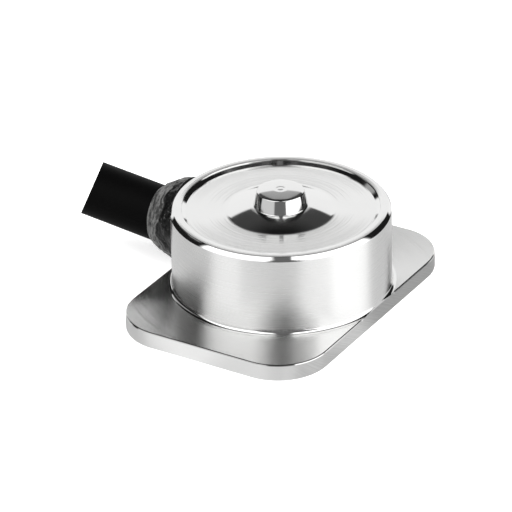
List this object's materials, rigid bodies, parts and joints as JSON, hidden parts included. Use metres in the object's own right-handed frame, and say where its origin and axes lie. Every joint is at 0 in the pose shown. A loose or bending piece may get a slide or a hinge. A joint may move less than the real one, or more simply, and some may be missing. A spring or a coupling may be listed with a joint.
{
  "type": "button load cell",
  "caption": "Compact compression load cell: round drum on a flat rounded flange, raised load button on a recessed sensing web, short sealed cable stub at the side.",
  "frame": {"origin": "on the drum's axis at the underside of the flange", "axes": "+Z along the drum's axis out of the load button; Y along the flange's long side; the cable leaves towards -X"},
  "size_m": [0.032, 0.0282, 0.0109],
  "materials": {
    "polished_steel": "polished",
    "cover_steel": "satin",
    "epoxy": "gloss",
    "sealant": "wrinkled, dark grey",
    "jacket": "matt black",
    "braid": "tinned wire braid",
    "filler": "twisted cotton",
    "copper": "tinned copper strands",
    "red_insulation": "satin",
    "black_insulation": "satin",
    "green_insulation": "satin",
    "white_insulation": "satin",
    "board": "solder mask",
    "solder": "bright",
    "gauge_film": "amber film",
    "gauge_foil": "etched foil",
    "chip": "ceramic with tinned caps"
  },
  "bodies": {
    "root": {"sensor_body": "polished_steel", "bottom_cover": "cover_steel", "cover_bead": "epoxy", "terminal_board": "board", "board_pads": "solder", "solder_joints": "solder", "gauge_leads": "copper", "port_potting": "epoxy", "cable_sealant": "sealant", "cable_jacket": "jacket", "cable_braid": "braid", "cable_filler": "filler", "drain_wire": "braid", "zero_resistor": "chip", "span_resistor": "chip", "balance_resistor": "chip", "gauge_backing_1": "gauge_film", "gauge_grid_1": "gauge_foil", "gauge_backing_2": "gauge_film", "gauge_grid_2": "gauge_foil", "gauge_backing_3": "gauge_film", "gauge_grid_3": "gauge_foil", "gauge_backing_4": "gauge_film", "gauge_grid_4": "gauge_foil", "core_insulation_green": "green_insulation", "core_conductor_green": "copper", "core_insulation_white": "white_insulation", "core_conductor_white": "copper", "core_insulation_red": "red_insulation", "core_conductor_red": "copper", "core_insulation_black": "black_insulation", "core_conductor_black": "copper"}
  },
  "joints": []
}
